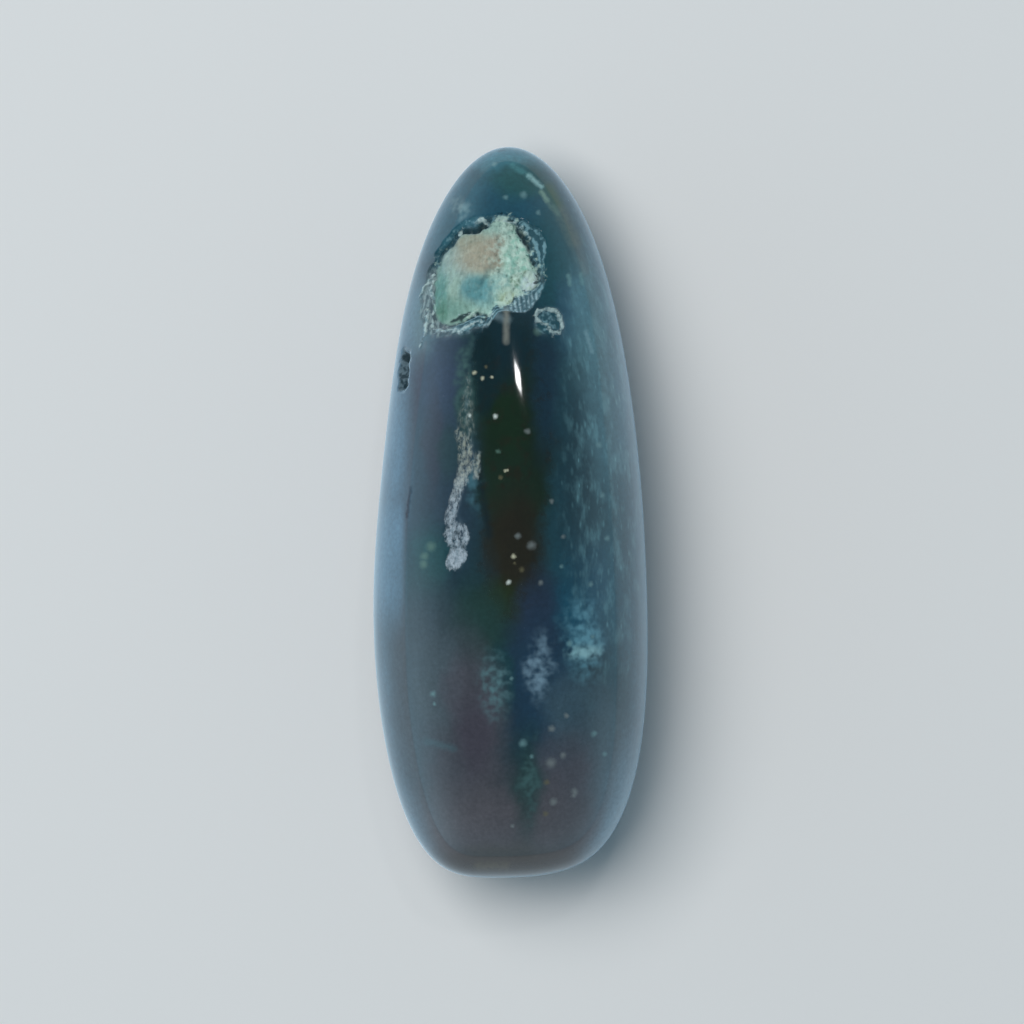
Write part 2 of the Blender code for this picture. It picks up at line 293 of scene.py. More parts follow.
def polished_stone(direction):
    """The unbroken surface, from unit directions of a sphere.

    X and Y are the direction's, times the half width and half length, times a swell that is 1 at
    the crown and the outline's reach at the girdle.  Above the girdle Z is the crown's rise times
    the direction's Z, plus low sine swells.  Below it Z falls by a cubic that leaves the girdle at
    the same slope and flattens out.  The narrow end droops by an eased share of its distance.
    """
    x, y, z = direction[..., 0], direction[..., 1], direction[..., 2]
    flat = np.hypot(x, y)
    swell = 1 + (STONE_REACH(np.arctan2(y, x)) - 1) * flat
    across = CROWN[0] + HALF_WIDTH * x * swell
    along = CROWN[1] + HALF_LENGTH * y * swell

    up, down = np.clip(z, 0, 1), np.clip(-z, 0, 1)
    belly = BELLY_DEPTH + FLAT_CUT
    first = CROWN_RISE / belly
    third = BELLY_FLATNESS + first - 2
    second = 1 - first - third
    height = BELLY_DEPTH + CROWN_RISE * up - belly * (first * down + second * down**2 + third * down**3)
    for length_x, length_y, rise, phase in SWELLS:
        height += rise * up * np.sin(2 * np.pi * (across / length_x + along / length_y) + phase)
    height -= NOSE_DROOP * smooth_step(along / HALF_LENGTH) * (1 - down)
    return np.stack([across, along, height], axis=-1)


def off_stroke(x, y, stations):
    """How far outside a stroke each point is: its distance from the line less the half-width there."""
    stations = np.asarray(stations, float)
    nearest = np.full_like(x, np.inf)
    for start, end in zip(stations[:-1], stations[1:]):
        way = end[:2] - start[:2]
        share = np.clip(((x - start[0]) * way[0] + (y - start[1]) * way[1]) / (way @ way), 0, 1)
        off = np.hypot(x - start[0] - share * way[0], y - start[1] - share * way[1])
        nearest = np.minimum(nearest, off - (start[2] + share * (end[2] - start[2])))
    return nearest


def on_arc(angle, middle, half_arc, fade):
    """1 within half_arc degrees of the middle and 0 past it, with an eased fade.

    angle is in radians.
    """
    turn = np.abs((np.degrees(angle) - middle + 180) % 360 - 180)
    return smooth_step((half_arc - turn) / fade + 0.5)


def vug(x, y):
    """The vug's depth, and where its crust, wall and other markings are, from 0 to 1.

    From the chipped mouth inwards the wall falls in a few rounded steps: the share of the way less
    a sine of it, times the vug's depth, which is less along one arc.  The floor is a crust that
    swells in its middle, with four sizes of lumps.  The crevices are grooves of bell section along
    arcs of the floor's edge.
    """
    off_x, off_y = x - VUG_CENTRE[0], y - VUG_CENTRE[1]
    angle, radius = np.arctan2(off_y, off_x), np.hypot(off_x, off_y)
    mouth = MOUTH_REACH(angle) + lumps(x, y, *MOUTH_CHIPS) + lumps(x, y, *MOUTH_NICKS)
    floor = np.minimum(FLOOR_REACH(angle) + lumps(x, y, *FLOOR_NICKS), mouth - VUG_NARROWEST_WALL)
    down = np.clip((mouth - radius) / (mouth - floor), 0, 1)
    wave = 2 * np.pi * WALL_STEPS
    steps = down - STEP_SHARPNESS * np.sin(wave * down) / wave
    inside = smooth_step(1 - radius / floor)
    crust = CRUST_SWELL * inside
    large = lumps(x, y, *CRUST_LUMPS) + lumps(x, y, *CRUST_CRUMBS)
    small = lumps(x, y, *CRUST_GRAINS) + lumps(x, y, *CRUST_GRIT)
    crust += large * np.clip(inside / LUMPS_FULL, 0, 1)
    crust += small * eased(down, *GRAINS_FADE)
    depth = VUG_DEPTH * steps * (1 - SHALLOW_SHARE * on_arc(angle, *SHALLOW_ARC)) - crust
    gap = np.zeros_like(x)
    for middle, half_arc, crevice in VUG_CREVICES:
        across = (radius - floor - CREVICE_OFFSET) / CREVICE_WIDTH
        groove = on_arc(angle, middle, half_arc, CREVICE_FADE) * np.exp(-(across**2))
        groove = groove * np.clip(down / CREVICE_FULL, 0, 1)
        depth += crevice * groove
        gap = np.maximum(gap, groove * min(crevice / CREVICE_BLACK, 1))
    wander = down + lumps(x, y, *LEDGE_WANDER)
    dark_side, fibre_side = on_arc(angle, *DARK_ARC), on_arc(angle, *FIBRE_ARC)
    dark_lip = dark_side * eased(down, *DARK_LIP_FADE)
    in_mouth = smooth_step((mouth - radius) / MOUTH_EDGE)
    in_crust = smooth_step((floor - radius) / CRUST_EDGE + 0.5)
    frayed = np.exp(-(((radius - floor) / FRAY_REACH) ** 2))
    frayed = frayed * (1 - DARK_FRAY_LOSS * dark_side) * (1 - FIBRE_FRAY_LOSS * fibre_side)
    return {
        "depth": depth,
        "crust": in_crust,
        "wall": in_mouth * (1 - dark_lip) * (1 - fibre_side),
        "gap": gap,
        "ledge": (0.5 - 0.5 * np.cos(wave * wander)) * (1 - DARK_LEDGE_LOSS * dark_side),
        "lip": in_mouth * dark_lip,
        "fibre": in_mouth * fibre_side * (1 - in_crust),
        "fray": frayed,
    }


def knot(x, y):
    """The knot's depth, and where it is, from 0 to 1: a shallow ellipse with lumps."""
    share = np.hypot((x - KNOT_CENTRE[0]) / KNOT_RADIUS[0], (y - KNOT_CENTRE[1]) / KNOT_RADIUS[1])
    inside = smooth_step((1 - share) * np.mean(KNOT_RADIUS) / KNOT_EDGE)
    return {"depth": (KNOT_DEPTH + lumps(x, y, *KNOT_LUMPS)) * inside, "knot": inside}


def side_pit(x, y):
    """The side pit's depth, and where it is and where its dark hole is, from 0 to 1."""
    slot = -off_stroke(x, y, ((*PIT_TOP, PIT_RADIUS), (*PIT_BOTTOM, PIT_RADIUS)))
    slot = slot + lumps(x, y, *FLOOR_NICKS)
    inside = smooth_step(slot / PIT_RADIUS)
    hole = 1 - smooth_step(np.hypot(x - PIT_HOLE[0], y - PIT_HOLE[1]) / PIT_HOLE_RADIUS)
    grains = lumps(x, y, *CRUST_GRAINS) * inside
    depth = PIT_DEPTH * inside + PIT_HOLE_DEPTH * hole + grains
    return {"depth": depth, "pit": smooth_step(slot / PIT_EDGE), "hole": hole}


def scar(x, y):
    """The scar's depth, and how thick its chalk lies, from 0 up: a stroke with a grainy bottom."""
    inside = smooth_step(-off_stroke(x, y, SCAR) / SCAR_EDGE)
    rough = lumps(x, y, *SCAR_LUMPS) + lumps(x, y, *SCAR_GRAINS)
    beds = [thick * smooth_step(0.5 - off_stroke(x, y, bed) / CHALK_FADE) for thick, bed in CHALK_BEDS]
    return {"depth": (SCAR_DEPTH + rough) * inside, "chalk": np.max(beds, axis=0)}


def threads(x, y):
    """Where the raised white threads are, from 0 to 1: strokes that wander and swell at random."""
    across, along = (lumps(x, y, *wander) for wander in THREAD_WANDER)
    nearest = np.min([off_stroke(x + across, y + along, thread) for thread in THREADS], axis=0)
    return smooth_step(0.5 - (nearest - lumps(x, y, *THREAD_KNOTS)) / THREAD_EDGE)


def slits(x, y):
    """Where the dark slits in the crust are, from 0 to 1."""
    nearest = np.min([off_stroke(x, y, slit) for slit in SLITS], axis=0)
    return smooth_step(0.5 - (nearest + lumps(x, y, *THREAD_KNOTS)) / THREAD_EDGE)


def packed(place, packing, fade, length):
    """Shares from 0 to 1 that pack the given places more closely.

    place rises along fine samples, each as long as length says.  A packed stretch counts for more,
    with eased ends, and the running total is inverted where it is read.
    """
    weight = np.ones_like(place)
    for start, end, times in packing:
        weight += (times - 1) * smooth_step((place - start) / fade) * smooth_step((end - place) / fade)
    total = np.concatenate([[0], np.cumsum(weight * length)])
    return total / total[-1]


def ring_leans(count):
    """The angle from the blunt end at which each ring crosses the stone, between 0 and pi."""
    fine = np.linspace(0, np.pi, RING_SAMPLES)
    middle = (fine[1:] + fine[:-1]) / 2
    place = CROWN[1] - HALF_LENGTH * np.cos(middle)
    length = np.hypot(HALF_LENGTH * np.sin(middle), CROWN_RISE * np.cos(middle))
    share = packed(place, RING_PACKING, PACKING_FADE_MM, length)
    return np.interp((np.arange(count) + 0.5) / count, share, fine)


def column_turns(count):
    """The angle from straight up of each column, from -180 degrees at the underside, in radians."""
    fine = np.linspace(-180, 180, COLUMN_SAMPLES)
    middle = (fine[1:] + fine[:-1]) / 2
    share = packed(middle, COLUMN_PACKING, PACKING_FADE_DEGREES, np.ones_like(middle))
    return np.radians(np.interp(np.arange(count) / count, share, fine))


def stone_surface():
    """The whole surface on a grid of lean and turn, and its markings.

    A ring leans from the blunt pole to the narrow pole, and a column turns round the Y axis.  Each
    grid point is a direction that polished_stone pushes out.  The broken places are sunk along the
    ellipsoid's normal, on the domed side only, and the belly is worn flat at Z = 0 by the mean of Z
    and the root of Z squared plus a small square.
    """
    lean, turn = ring_leans(RINGS)[:, None], column_turns(COLUMNS)[None, :]
    sideways, upwards = np.sin(lean) * np.sin(turn), np.sin(lean) * np.cos(turn)
    direction = np.stack([sideways, -np.cos(lean) * np.ones_like(turn), upwards], axis=-1)
    place = polished_stone(direction)
    x, y = place[..., 0], place[..., 1]
    marks = {"vug": vug(x, y), "knot": knot(x, y), "pit": side_pit(x, y), "scar": scar(x, y)}
    thread = threads(x, y)
    depth = sum(mark["depth"] for mark in marks.values()) - THREAD_RISE * thread
    domed = direction[..., 2] > 0
    normal = direction / ELLIPSOID
    normal /= np.linalg.norm(normal, axis=-1, keepdims=True)
    place = place - normal * (depth * domed)[..., None]
    place[..., 2] = (place[..., 2] + np.hypot(place[..., 2], FLAT_EDGE)) / 2
    fields = {name: field for mark in marks.values() for name, field in mark.items()}
    fields |= {"gap": np.maximum(fields["gap"], slits(x, y)), "white": thread}
    return place, {name: fields[name] * domed for name in FIELDS}


def closed_grid(rings, columns):
    """Faces over a grid whose columns wrap round, with a fan to a pole past each end ring.

    Returns the points of each face, the poles coming after all the rings, and each corner's place on
    a map that columns run across and rings run up.
    """
    ring, column = np.indices((rings - 1, columns))
    around, first = np.arange(columns), np.zeros(columns)
    last = first + rings - 1
    quads = ((ring, column), (ring + 1, column), (ring + 1, column + 1), (ring, column + 1))
    first_fan = ((first - 1, around + 0.5), (first, around), (first, around + 1))
    last_fan = ((last + 1, around + 0.5), (last, around + 1), (last, around))
    faces, spots = [], []
    for corners in (quads, first_fan, last_fan):
        corners = np.moveaxis(np.array(corners), (0, 1), (-2, -1)).reshape(-1, len(corners), 2)
        ring, column = corners[..., 0], corners[..., 1]
        spots.append(np.stack([column / columns, (ring + 1) / (rings + 1)], axis=-1).ravel())
        point = np.where(ring < 0, rings * columns, ring * columns + column % columns)
        point = np.where(ring == rings, rings * columns + 1, point)
        faces += point.astype(int).tolist()
    return faces, np.concatenate(spots)


def placed(name, data):
    """A new object with this name and data, put into the scene."""
    thing = bpy.data.objects.new(name, data)
    bpy.context.scene.collection.objects.link(thing)
    return thing


def build_stone(material):
    """The finished stone: the surface's grid and its two poles as one closed mesh."""
    place, fields = stone_surface()
    poles = polished_stone(np.array(((0.0, -1.0, 0.0), (0.0, 1.0, 0.0))))
    points = np.concatenate([place.reshape(-1, 3), poles]) * MM
    faces, spots = closed_grid(RINGS, COLUMNS)

    mesh = bpy.data.meshes.new("bloodstone_polished")
    mesh.from_pydata(points.tolist(), [], faces)
    mesh.uv_layers.new(name="OFBake").data.foreach_set("uv", spots)
    for name, field in fields.items():
        values = np.concatenate([field.ravel(), (0.0, 0.0)])
        mesh.attributes.new(name, "FLOAT", "POINT").data.foreach_set("value", values)
    mesh.materials.append(material)
    mesh.shade_smooth()
    mesh.update()
    return placed("bloodstone_polished", mesh)


# ---------------------------------------------------------------------------------------------
# Shader arithmetic.

BLACK = (0.0, 0.0, 0.0, 1.0)
# How far a spot's soft edge reaches, in its radii.
SPOT_FADE = 1.35
# The smallest radius of a speck, as a share of the largest, and a speck's soft edge, in its radii.
SMALLEST_SPECK = 0.35
SPECK_FADE = (1.0, 0.1)
# The noise that stirs places: its detail and roughness.
STIRRING = (3.0, 0.6)


def paint(red, green, blue):
    """A colour mixed from 0 to 255 as a screen shows it, as the share of light it sends back.

    It undoes the standard curve of screens: a power of 2.4 over most of its run, and a line near
    black.
    """
    seen = np.array((red, green, blue)) / 255
    sent = np.where(seen <= 0.04045, seen / 12.92, ((seen + 0.055) / 1.055) ** 2.4)
    return (*sent.tolist(), 1.0)


class Wire:
    """A shader socket that Python's arithmetic joins up with Math nodes."""

    def __init__(self, tree, socket=None):
        self.tree = tree
        self.socket = socket

    def add(self, kind, settings=None, sockets=None, output=0):
        """Adds a node of this type: first its settings, then its sockets' values or wires."""
        node = self.tree.nodes.new(kind)
        for name, value in (settings or {}).items():
            setattr(node, name, value)
        for name, value in (sockets or {}).items():
            if isinstance(value, Wire):
                self.tree.links.new(value.socket, node.inputs[name])
            else:
                node.inputs[name].default_value = value
        return Wire(self.tree, node.outputs[output])

    def math(self, operation, *values):
        """A Math node's result for these values or wires."""
        return self.add("ShaderNodeMath", {"operation": operation}, dict(enumerate(values)))

    def vector(self, operation, *values, output="Vector"):
        """A Vector Math node's result for these values or wires."""
        sockets = dict(enumerate(values))
        return self.add("ShaderNodeVectorMath", {"operation": operation}, sockets, output)

    def __add__(self, other):
        return self.math("ADD", self, other)

    def __sub__(self, other):
        return self.math("SUBTRACT", self, other)

    def __rsub__(self, other):
        return self.math("SUBTRACT", other, self)

    def __mul__(self, other):
        return self.math("MULTIPLY", self, other)

    def __truediv__(self, other):
        return self.math("DIVIDE", self, other)

    __radd__ = __add__
    __rmul__ = __mul__

    def larger(self, other):
        """The larger of the two numbers."""
        return self.math("MAXIMUM", self, other)

    def clamped(self):
        """This number, kept between 0 and 1."""
        return self.add("ShaderNodeClamp", {}, {"Value": self})

    def eased(self, start, end):
        """0 at start, 1 at end and smooth between them; start may be the larger."""
        settings = {"interpolation_type": "SMOOTHSTEP", "clamp": False}
        return self.add("ShaderNodeMapRange", settings, {0: self, 1: start, 2: end, 3: 0.0, 4: 1.0})

    def between(self, under, over, clamped=True):
        """One colour where this is 0, another where it is 1, and their mix in between."""
        settings = {"data_type": "RGBA", "blend_type": "MIX", "clamp_factor": clamped}
        return self.add("ShaderNodeMix", settings, {0: self, 6: under, 7: over}, 2)

    def dimmed(self, share):
        """This colour times one number."""
        return share.between(BLACK, self, clamped=False)

    def scaled(self, factor):
        """This vector times one number."""
        return self.add("ShaderNodeVectorMath", {"operation": "SCALE"}, {0: self, "Scale": factor})

    def part(self, axis):
        """The X, Y or Z of this vector."""
        return self.add("ShaderNodeSeparateXYZ", {}, {0: self}, axis)

    def noise(self, per_mm, detail=2.0, rough=0.5, output="Fac"):
        """A noise field at these places, with this many cells to the millimetre."""
        sockets = {"Vector": self, "Scale": per_mm, "Detail": detail, "Roughness": rough}
        return self.add("ShaderNodeTexNoise", {}, sockets, output)

    def stirred(self, per_mm, reach):
        """These places, pushed about by a noise."""
        draw = self.noise(per_mm, *STIRRING, "Color")
        split = self.add("ShaderNodeSeparateColor", {}, {"Color": draw}).socket.node
        pushes = {axis: Wire(self.tree, split.outputs[axis]) - 0.5 for axis in range(3)}
        push = self.add("ShaderNodeCombineXYZ", {}, pushes)
        return self.vector("ADD", self, push.scaled(2 * reach))

    def patch(self, x, y, half_width, half_length, softness):
        """1 inside an ellipse in plan and 0 outside it, with an edge as soft as softness says."""
        off = self.vector("SUBTRACT", self, (x, y, 0.0))
        share = self.vector("MULTIPLY", off, (1 / half_width, 1 / half_length, 0.0))
        return share.vector("LENGTH", share, output="Value").eased(1 + softness, 1 - softness)

    def spots(self, places):
        """1 at the middle of each round spot in plan, given as X, Y and radius, and 0 off them all."""
        cover = None
        for x, y, radius in places:
            off = self.vector("DISTANCE", self, (x, y, 0.0), output="Value")
            spot = off.eased(SPOT_FADE * radius, 0.0)
            cover = cover.larger(spot) if cover else spot
        return cover

    def stroke(self, start, end, half_width, softness):
        """1 along a line in plan from start to end, and 0 off it."""
        start, end = np.array((*start, 0.0)), np.array((*end, 0.0))
        way = end - start
        off = self.vector("SUBTRACT", self, tuple(start))
        along = self.vector("DOT_PRODUCT", off, tuple(way / (way @ way)), output="Value").clamped()
        foot = self.add("ShaderNodeVectorMath", {"operation": "SCALE"}, {0: tuple(way), "Scale": along})
        gap = self.vector("DISTANCE", off, foot, output="Value")
        return gap.eased(half_width + softness, max(half_width - softness, 0))

    def path(self, corners, half_width, softness):
        """1 along a line in plan through these corners, and 0 off it."""
        cover = None
        for start, end in zip(corners[:-1], corners[1:]):
            leg = self.stroke(start, end, half_width, softness)
            cover = cover.larger(leg) if cover else leg
        return cover

    def specks(self, per_mm, size, share, dimensions="3D"):
        """Soft round specks in some cells of a lattice.

        size is the largest radius in cells, and share is the share of the cells that have one.
        """
        settings = {"feature": "F1", "voronoi_dimensions": dimensions}
        sockets = {"Vector": self, "Scale": per_mm}
        cells = self.add("ShaderNodeTexVoronoi", settings, sockets, "Distance")
        draw = Wire(self.tree, cells.socket.node.outputs["Color"])
        red = self.add("ShaderNodeSeparateColor", {}, {"Color": draw}, "Red")
        green = Wire(self.tree, red.socket.node.outputs["Green"])
        radius = size * (SMALLEST_SPECK + (1 - SMALLEST_SPECK) * green)
        return (cells / radius).eased(*SPECK_FADE) * red.math("LESS_THAN", red, share)

    def zoned(self, zones, colour):
        """This colour with zones of other colours laid over it, at these places."""
        for tint, *oval, strength in zones:
            colour = (self.patch(*oval) * strength).between(colour, paint(*tint))
        return colour

    def streaked(self, streak, cover, patchy, colour):
        """This colour with a streak along these places laid over it where cover says, patchily."""
        tint, *path, strength, patchiness = streak
        line = self.path(*path) * cover * strength
        return (line * (patchy * patchiness + (1 - patchiness))).between(colour, paint(*tint))


# ---------------------------------------------------------------------------------------------
# The bloodstone's colours.  Places are X and Y in millimetres, and a patch is its X, its Y, its half
# width, its half length and its softness.

BODY = paint(34, 62, 74)
# The darkest and the palest shade of its long grain.
BODY_SHADES = (0.5, 0.95)

# Zones of colour, mostly the stone's own and some painted reflection, as marked below: colour, X, Y,
# half width, half length, softness, strength.
BODY_ZONES = (
    ((44, 90, 104), 0.1, 20.0, 5.0, 4.0, 0.5, 1.0),
    ((36, 90, 112), -0.7, 18.7, 2.6, 1.4, 0.5, 0.9),
    ((36, 98, 116), -4.0, 17.6, 1.2, 2.4, 0.6, 0.7),
    ((42, 96, 94), 0.7, 20.4, 2.0, 1.1, 0.5, 0.7),
    ((48, 92, 106), 5.8, 6.0, 2.2, 13.0, 0.5, 0.9),
    ((36, 80, 94), 3.0, 3.0, 1.6, 12.0, 0.6, 0.9),
    ((50, 72, 90), -5.2, 4.0, 3.0, 9.0, 0.3, 1.0),
    ((54, 70, 98), -4.6, 8.4, 1.6, 2.6, 0.6, 0.8),
    ((58, 62, 80), -4.7, 4.4, 0.5, 3.2, 0.6, 0.7),
    ((34, 76, 88), -5.0, -3.6, 2.0, 2.6, 0.5, 0.8),
    ((32, 62, 70), -2.8, -5.0, 2.4, 2.6, 0.6, 0.9),
    ((36, 58, 76), -3.4, -1.0, 0.9, 6.0, 0.5, 0.5),
    ((24, 46, 30), 0.3, 4.0, 2.3, 6.8, 0.3, 1.0),
    ((16, 48, 58), -0.6, 9.8, 2.0, 2.2, 0.4, 1.0),
    ((20, 46, 22), -0.2, 5.8, 1.6, 2.2, 0.6, 0.9),
    ((12, 42, 48), -1.6, 8.4, 0.8, 2.6, 0.25, 0.9),
    ((42, 72, 78), -3.7, 3.8, 0.7, 1.6, 0.5, 0.7),
    ((40, 94, 98), -4.9, -3.0, 1.1, 1.8, 0.6, 0.6),
    ((26, 56, 76), 2.2, 8.0, 0.9, 4.4, 0.6, 0.9),
    ((42, 38, 24), 0.2, -2.4, 1.7, 3.6, 0.5, 1.0),
    ((38, 52, 22), -0.5, -5.3, 1.5, 1.2, 0.5, 0.9),
    ((38, 70, 66), -2.1, -7.6, 2.0, 3.0, 0.5, 0.9),
    ((44, 62, 88), 1.9, -6.6, 1.6, 2.6, 0.5, 0.9),
    ((26, 92, 120), 4.5, -5.2, 1.5, 3.2, 0.6, 0.9),
    ((34, 66, 92), 1.8, -11.0, 2.2, 4.0, 0.5, 0.9),
    ((26, 72, 80), -0.7, -10.4, 0.9, 2.4, 0.4, 0.8),
    # Next eight rows: grey-violet lower half, partly the stone's colour, partly painted reflection.
    ((74, 90, 102), -5.6, -11.6, 3.2, 6.4, 0.5, 0.9),
    ((80, 84, 94), -2.6, -14.2, 2.4, 6.0, 0.35, 1.0),
    ((84, 100, 110), -4.3, -10.6, 1.3, 3.0, 0.5, 0.8),
    ((88, 82, 94), -3.4, -10.8, 0.8, 1.6, 0.6, 0.5),
    ((82, 74, 90), -2.0, -13.6, 1.2, 2.4, 0.6, 0.55),
    ((76, 104, 120), 4.0, -12.2, 1.9, 2.4, 0.6, 0.8),
    ((94, 96, 108), 4.2, -17.4, 3.2, 3.6, 0.5, 0.9),
    ((98, 96, 104), -0.6, -20.4, 6.0, 3.8, 0.5, 1.0),
    ((34, 72, 72), 1.0, -16.8, 0.8, 2.9, 0.8, 0.75),
    ((90, 114, 128), 6.4, -15.6, 1.4, 3.8, 0.6, 0.8),
    ((132, 172, 182), -5.6, 11.8, 0.9, 2.2, 0.6, 0.5),
    ((26, 90, 110), -3.3, 19.2, 1.6, 3.0, 0.6, 0.7),
    ((34, 92, 104), 2.7, 15.0, 1.3, 3.4, 0.6, 0.85),
    ((32, 78, 108), 3.9, 12.0, 1.0, 2.3, 0.5, 0.75),
    ((28, 64, 78), 4.1, 2.2, 1.3, 6.5, 0.6, 0.7),
    ((40, 72, 68), -2.6, 6.4, 0.6, 2.2, 0.5, 0.7),
    # Next two rows: painted reflection, paler bands down the right flank.
    ((102, 160, 174), 4.9, 12.4, 1.3, 3.8, 0.6, 0.55),
    ((104, 156, 172), 6.0, 7.5, 1.2, 5.0, 0.6, 0.5),
    ((34, 84, 108), 6.3, -5.5, 1.3, 3.6, 0.6, 0.5),
    # Painted reflection: a teal band down the right flank's edge.
    ((60, 130, 150), 7.4, -3.0, 1.3, 11.0, 0.6, 0.35),
    # Painted reflection: the paler rim round the narrow end.
    ((84, 162, 182), 0.2, 22.2, 3.2, 1.0, 0.6, 0.7),
    ((92, 86, 82), -0.3, -21.2, 2.6, 1.0, 0.6, 0.8),
)
# How a noise stirs the zones' edges: cells to the millimetre and reach.
BODY_STIR = (0.4, 0.9)
# How far the colours slide along X and Y for each millimetre below the girdle.
ZONE_SLANT = (0.5, 0.8)
MOSS = paint(40, 34, 18)
MOSS_PATCH = (0.2, 2.0, 2.4, 8.0, 0.4)
# Painted reflection: the stone is painted paler where its surface leans over towards its widest line,
# standing for the bright surroundings that its rim mirrors.
EDGE_REFLECTION_PAINT = paint(92, 144, 172)
EDGE_REFLECTION_SHARE = 0.5
# Over which upright shares of the surface's normal, and over which heights, it fades in; and how
# much of it is even and how much drifts with a noise.
EDGE_LEAN = (0.78, 0.3)
EDGE_HEIGHTS = (1.5, 4.5)
EDGE_DRIFT = (0.4, 1.2)
# Painted reflection: a paler band down the left flank, soft-edged above and crisp below: for each
# part, the X over which it fades in, and the Y over which it does so at its lower and its upper end.
LEFT_FLANK_REFLECTION = paint(124, 176, 210)
LEFT_FLANK_REFLECTION_SHARE = 0.5
LEFT_FLANK_REFLECTIONS = (
    ((-5.6, -7.4), (-2.0, 2.5), (15.0, 10.0)),
    ((-6.2, -6.85), (-8.5, -4.0), (3.5, -1.0)),
)
# The shade where the blunt end turns down.
BLUNT_END = (-0.2, -22.2, 4.4, 3.0, 0.6)
BLUNT_SHADE = paint(8, 14, 18)
BLUNT_LEAN = (0.88, 0.5)
# Painted reflections: pale crescents where the rim turns down at either side of the blunt end: X, Y,
# half width, half length, softness, strength.
RIM_REFLECTION_PAINT = paint(140, 188, 214)
RIM_REFLECTION_PATCHES = ((6.3, -18.2, 2.0, 3.8, 0.7, 0.7), (-5.6, -19.4, 1.4, 2.8, 0.7, 0.2))
RIM_LEAN = (0.82, 0.4)

# Streaks under the polish: colour, corners, half-width, softness, strength, patchiness.
STREAKS = (
    ((70, 98, 74), ((2.4, 19.9), (2.9, 18.9)), 0.1, 0.5, 0.7, 0.3),
    ((94, 112, 104), ((3.1, 18.4), (3.9, 16.6)), 0.15, 0.55, 0.6, 0.4),
    ((90, 106, 108), ((3.9, 16.6), (4.5, 14.8)), 0.1, 0.5, 0.4, 0.4),
    ((74, 136, 142), ((0.1, 21.3), (1.16, 20.6)), 0.02, 0.3, 0.6, 0.6),
    ((150, 192, 194), ((1.1, 20.65), (1.9, 20.0)), 0.02, 0.24, 0.8, 0.6),
    ((132, 164, 148), ((1.9, 19.65), (2.25, 19.1)), 0.02, 0.24, 0.7, 0.4),
    ((100, 130, 120), ((2.3, 19.0), (2.9, 18.3)), 0.02, 0.28, 0.5, 0.5),
    ((108, 152, 154), ((3.56, 14.5), (3.62, 13.9)), 0.05, 0.18, 0.7, 0.4),
    ((108, 152, 154), ((4.33, 14.6), (4.4, 14.0)), 0.05, 0.18, 0.6, 0.4),
    ((124, 162, 174), ((4.62, 11.0), (4.98, 9.8)), 0.05, 0.18, 0.6, 0.4),
    ((112, 136, 146), ((-0.8, 11.95), (-0.2, 11.75)), 0.1, 0.35, 0.6, 0.3),
    ((84, 80, 62), ((-2.0, -21.75), (-0.3, -21.7)), 0.1, 0.4, 0.5, 0.5),
    ((10, 26, 34), ((-2.0, 3.2), (-1.3, -1.4)), 0.03, 0.35, 0.6, 1.0),
    ((0, 34, 58), ((-6.08, 1.5), (-6.2, 0.6), (-6.32, -0.3)), 0.05, 0.12, 1.0, 0.3),
    ((70, 104, 114), ((-5.1, -14.0), (-3.5, -14.4)), 0.1, 0.3, 0.4, 0.4),
)
# The tongue that hangs from the vug, in the same order.
TONGUE = ((126, 130, 124), ((-0.25, 12.45), (-0.27, 10.4)), 0.13, 0.2, 0.85, 0.45)

# Crumbs set in the stone, by colour and strength: X, Y and radius of each.
CRUMBS = (
    ((214, 226, 222), 0.9, ((-0.92, 5.85, 0.17), (-2.5, 5.9, 0.15), (-0.13, -4.28, 0.17))),
    (
        (206, 206, 180), 0.8,
        (
            (0.18, -2.7, 0.17), (-2.2, 8.5, 0.14), (-1.7, 8.15, 0.14), (-1.15, 8.2, 0.11),
            (-0.33, 2.5, 0.12), (-0.2, 2.53, 0.1),
        ),
    ),
    (
        (126, 136, 138), 0.65,
        (
            (1.02, 4.92, 0.2), (2.5, 0.65, 0.16), (0.44, -1.45, 0.22), (1.28, -2.03, 0.3),
            (1.84, -4.3, 0.18), (3.2, -1.5, 0.16), (2.5, -13.2, 0.24), (3.4, -12.4, 0.18),
            (2.45, -15.3, 0.36), (3.2, -14.85, 0.22), (2.62, -17.7, 0.26), (3.9, -17.1, 0.26),
            (3.85, -17.3, 0.2), (0.1, -19.2, 0.15),
        ),
    ),
    (
        (108, 146, 152), 0.7,
        (
            (-4.72, -11.1, 0.22), (-4.65, -11.7, 0.15), (0.08, -10.15, 0.14), (0.75, -14.1, 0.28),
            (5.1, -13.55, 0.2), (5.75, -14.8, 0.18), (-0.3, 19.3, 0.18), (0.8, 19.45, 0.24),
            (1.7, 18.35, 0.17), (-1.0, 21.4, 0.2), (3.6, -8.0, 0.2), (5.0, -7.6, 0.16),
            (3.1, -3.3, 0.16), (5.4, 4.1, 0.2), (5.6, 1.0, 0.2), (5.9, -1.6, 0.2),
            (4.9, -4.4, 0.18), (1.3, -14.9, 0.14),
        ),
    ),
    (
        (88, 120, 110), 0.7,
        (
            (-4.85, -2.1, 0.34), (-5.25, -2.7, 0.28), (-5.3, -3.2, 0.28), (1.66, 11.04, 0.3),
            (-0.75, 3.7, 0.17),
        ),
    ),
    (
        (104, 100, 76), 0.7,
        (
            (0.7, -3.5, 0.2), (0.24, -3.15, 0.11), (-0.6, 2.1, 0.15), (-1.5, 8.85, 0.12),
            (2.15, -18.45, 0.2), (2.2, -16.5, 0.2),
        ),
    ),
)

